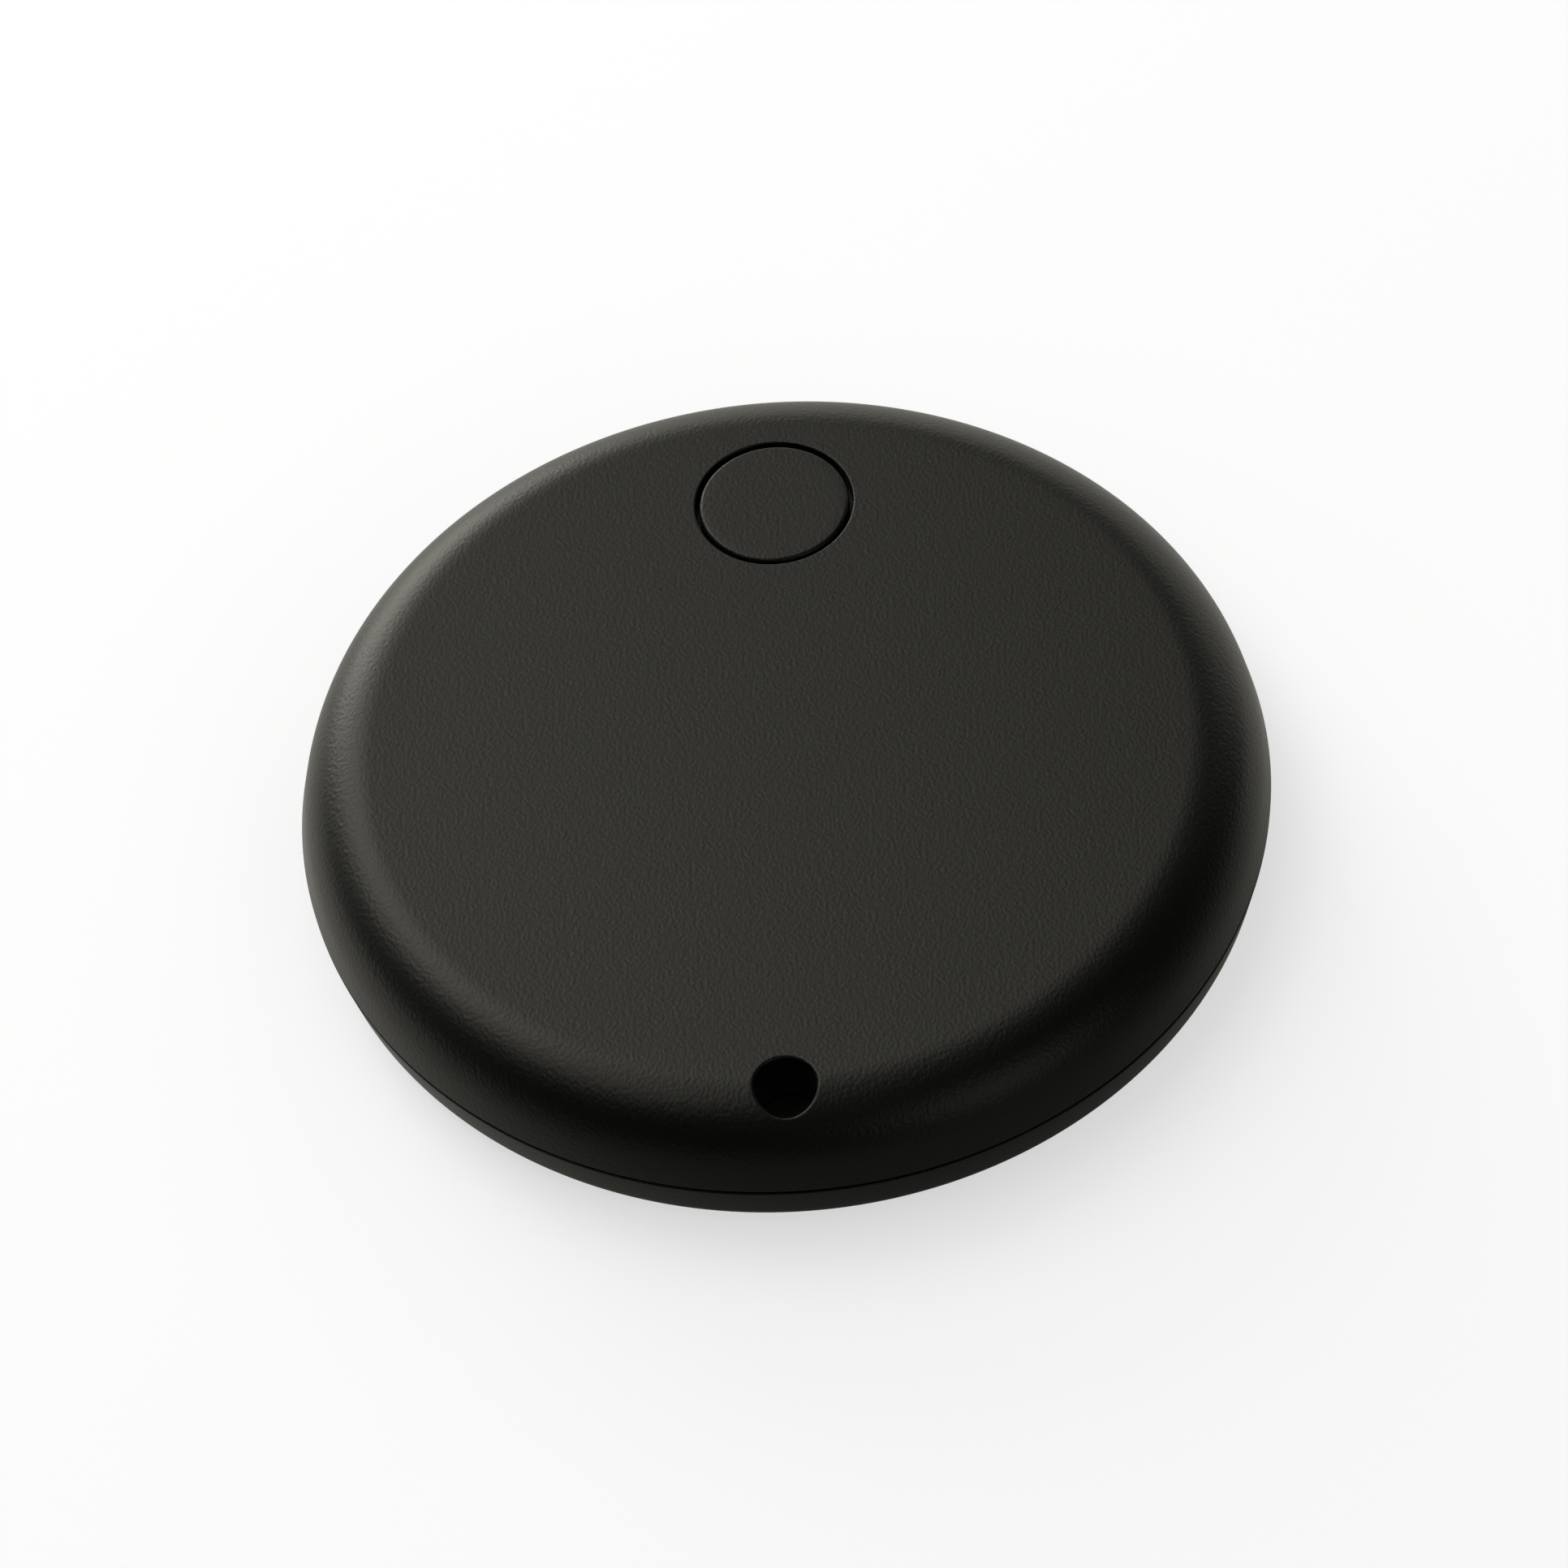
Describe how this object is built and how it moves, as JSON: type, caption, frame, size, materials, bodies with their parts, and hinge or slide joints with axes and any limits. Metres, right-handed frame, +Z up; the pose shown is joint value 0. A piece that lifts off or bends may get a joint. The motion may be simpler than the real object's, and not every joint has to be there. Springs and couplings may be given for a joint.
{
  "type": "bluetooth tracker tag",
  "caption": "Round pocket tracker tag with a flat top, soft shoulder, flush push button near one edge and a lanyard hole opposite it; the top shell lifts off a coin cell and board.",
  "frame": {"origin": "centre of the flat foot", "axes": "+Z up through the top face, +Y towards the button, -Y towards the lanyard hole"},
  "size_m": [0.04, 0.04, 0.0064],
  "materials": {
    "case_plastic": "fine moulded grain, matte",
    "button_plastic": "fine moulded grain, matte",
    "seal_silicone": "smooth silicone",
    "membrane_silicone": "smooth silicone",
    "pad_foam": "open foam",
    "glue_film": "adhesive film",
    "sounder_brass": "rolled sheet",
    "sounder_ceramic": "silvered ceramic",
    "gold_plate": "thin gold plate on spring bronze",
    "board_laminate": "green solder mask",
    "screw_steel": "zinc plated",
    "chip_epoxy": "moulded epoxy",
    "coil_ferrite": "ferrite drum",
    "crystal_can": "seam-welded lid",
    "antenna_ceramic": "white ceramic",
    "capacitor_ceramic": "fired ceramic with tinned ends",
    "resistor_ceramic": "dark film with tinned ends",
    "switch_plastic": "moulded nylon",
    "dome_steel": "stamped stainless steel",
    "plunger_plastic": "polished",
    "carrier_plastic": "natural moulded plastic",
    "cell_steel": "bright rolled stainless steel",
    "cell_nylon": "moulded nylon",
    "cell_pellet": "pressed powder",
    "cell_felt": "thin felt",
    "cell_lithium": "soft lithium foil"
  },
  "bodies": {
    "base": {"base_cover": "case_plastic", "sealing_gasket": "seal_silicone", "piezo_adhesive": "glue_film", "piezo_plate": "sounder_brass", "piezo_ceramic": "sounder_ceramic", "piezo_contacts": "gold_plate", "circuit_board": "board_laminate", "board_screws": "screw_steel", "radio_chip": "chip_epoxy", "driver_chip": "chip_epoxy", "buzzer_coil": "coil_ferrite", "main_crystal": "crystal_can", "clock_crystal": "crystal_can", "chip_antenna": "antenna_ceramic", "capacitors": "capacitor_ceramic", "resistors": "resistor_ceramic", "switch_body": "switch_plastic", "switch_dome": "dome_steel", "switch_frame": "dome_steel", "cell_carrier": "carrier_plastic", "positive_contact": "gold_plate", "negative_contact": "gold_plate"},
    "switch": {"switch_plunger": "plunger_plastic"},
    "cell": {"cell_can": "cell_steel", "cell_cap": "cell_steel", "cell_seal": "cell_nylon", "cell_cathode": "cell_pellet", "cell_separator": "cell_felt", "cell_anode": "cell_lithium"},
    "cover": {"top_cover": "case_plastic", "foam_pad": "pad_foam"},
    "button": {"button_cap": "button_plastic", "button_membrane": "membrane_silicone"}
  },
  "joints": [
    {"name": "cover_lift", "type": "slide", "parent": "base", "child": "cover", "axis": [0, 0, 1], "range_m": [0, 0.024]},
    {"name": "button_press", "type": "slide", "parent": "cover", "child": "button", "axis": [0, 0, -1], "range_m": [0, 0.00025], "stiffness_N_per_m": 600, "springref_m": -0.0002, "deforming": ["button_membrane"]},
    {"name": "switch_press", "type": "slide", "parent": "base", "child": "switch", "axis": [0, 0, -1], "range_m": [0, 0.00025], "deforming": ["switch_dome"]},
    {"name": "cell_lift", "type": "slide", "parent": "base", "child": "cell", "axis": [0, 0, 1], "range_m": [0, 0.01]}
  ],
  "couplings": [
    {"joint": "switch_press", "follows": "button_press", "ratio": 1},
    {"joint": "cell_lift", "follows": "cover_lift", "ratio": 0.4}
  ]
}
